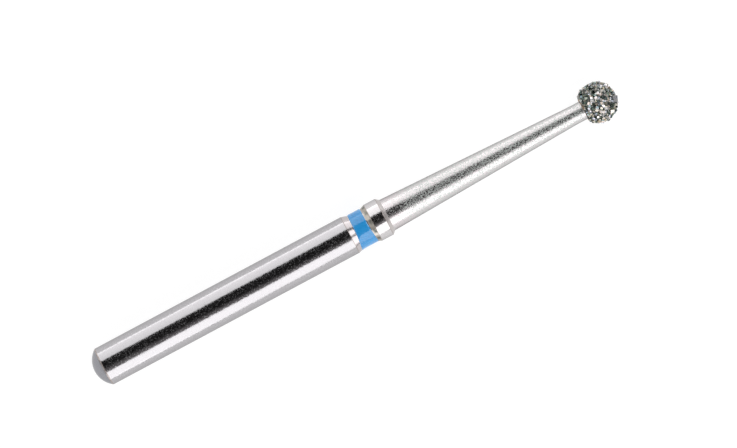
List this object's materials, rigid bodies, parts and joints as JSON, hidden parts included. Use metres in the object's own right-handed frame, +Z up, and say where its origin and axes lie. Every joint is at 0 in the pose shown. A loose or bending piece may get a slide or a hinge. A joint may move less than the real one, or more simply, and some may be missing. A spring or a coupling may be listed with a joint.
{
  "type": "dental bur",
  "caption": "Round diamond dental bur: a turned steel shank with a domed end, a blue grit ring, a collar and a tapered neck that carries a ball coated in diamond crystals.",
  "frame": {"origin": "on the bur's axis, at the crown of the shank's domed rear end, which meets the stop inside the chuck", "axes": "+X along the bur's axis, from the shank towards the diamond head; +Z up; the bur is round about X"},
  "size_m": [0.0234, 0.0018, 0.0018],
  "materials": {
    "ground_stainless_steel": "centreless ground and polished shank, fine turned neck",
    "blue_lacquer": "thin glossy lacquer",
    "diamond_in_nickel": "angular diamond crystals half sunk in electroplated nickel"
  },
  "bodies": {
    "root": {"steel_blank": "ground_stainless_steel", "colour_ring": "blue_lacquer", "diamond_coat": "diamond_in_nickel"}
  },
  "joints": []
}
